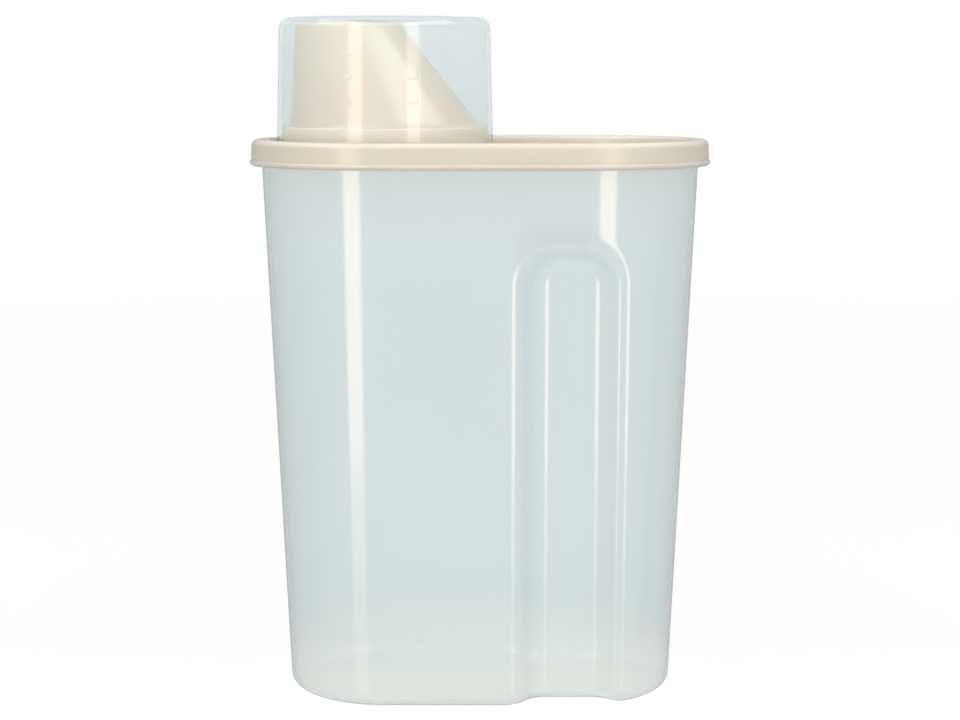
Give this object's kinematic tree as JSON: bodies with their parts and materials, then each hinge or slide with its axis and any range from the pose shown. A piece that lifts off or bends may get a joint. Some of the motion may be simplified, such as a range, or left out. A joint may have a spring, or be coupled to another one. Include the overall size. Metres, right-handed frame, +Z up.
{
  "type": "laundry detergent container",
  "caption": "Tapered see-through canister with grip recesses, a push-on lid with a leaning pouring spout, and a clear measuring cup that caps the spout.",
  "frame": {"origin": "on the table, under the middle of the tub's plan", "axes": "+Z up along the height, +X along the long side away from the spout, -Y towards the viewer"},
  "size_m": [0.1664, 0.098, 0.245],
  "materials": {
    "translucent_plastic": "glossy translucent polypropylene",
    "beige_plastic": "glossy moulded polypropylene",
    "clear_plastic": "glossy clear polypropylene"
  },
  "bodies": {
    "tub": {"container": "translucent_plastic"},
    "lid": {"lid": "beige_plastic"},
    "cup": {"measuring_cup": "clear_plastic"}
  },
  "joints": [
    {"name": "lid_lift", "type": "slide", "parent": "tub", "child": "lid", "axis": [0, 0, 1], "range_m": [0, 0.05]},
    {"name": "cup_lift", "type": "slide", "parent": "lid", "child": "cup", "axis": [0, 0, 1], "range_m": [0, 0.06]}
  ]
}
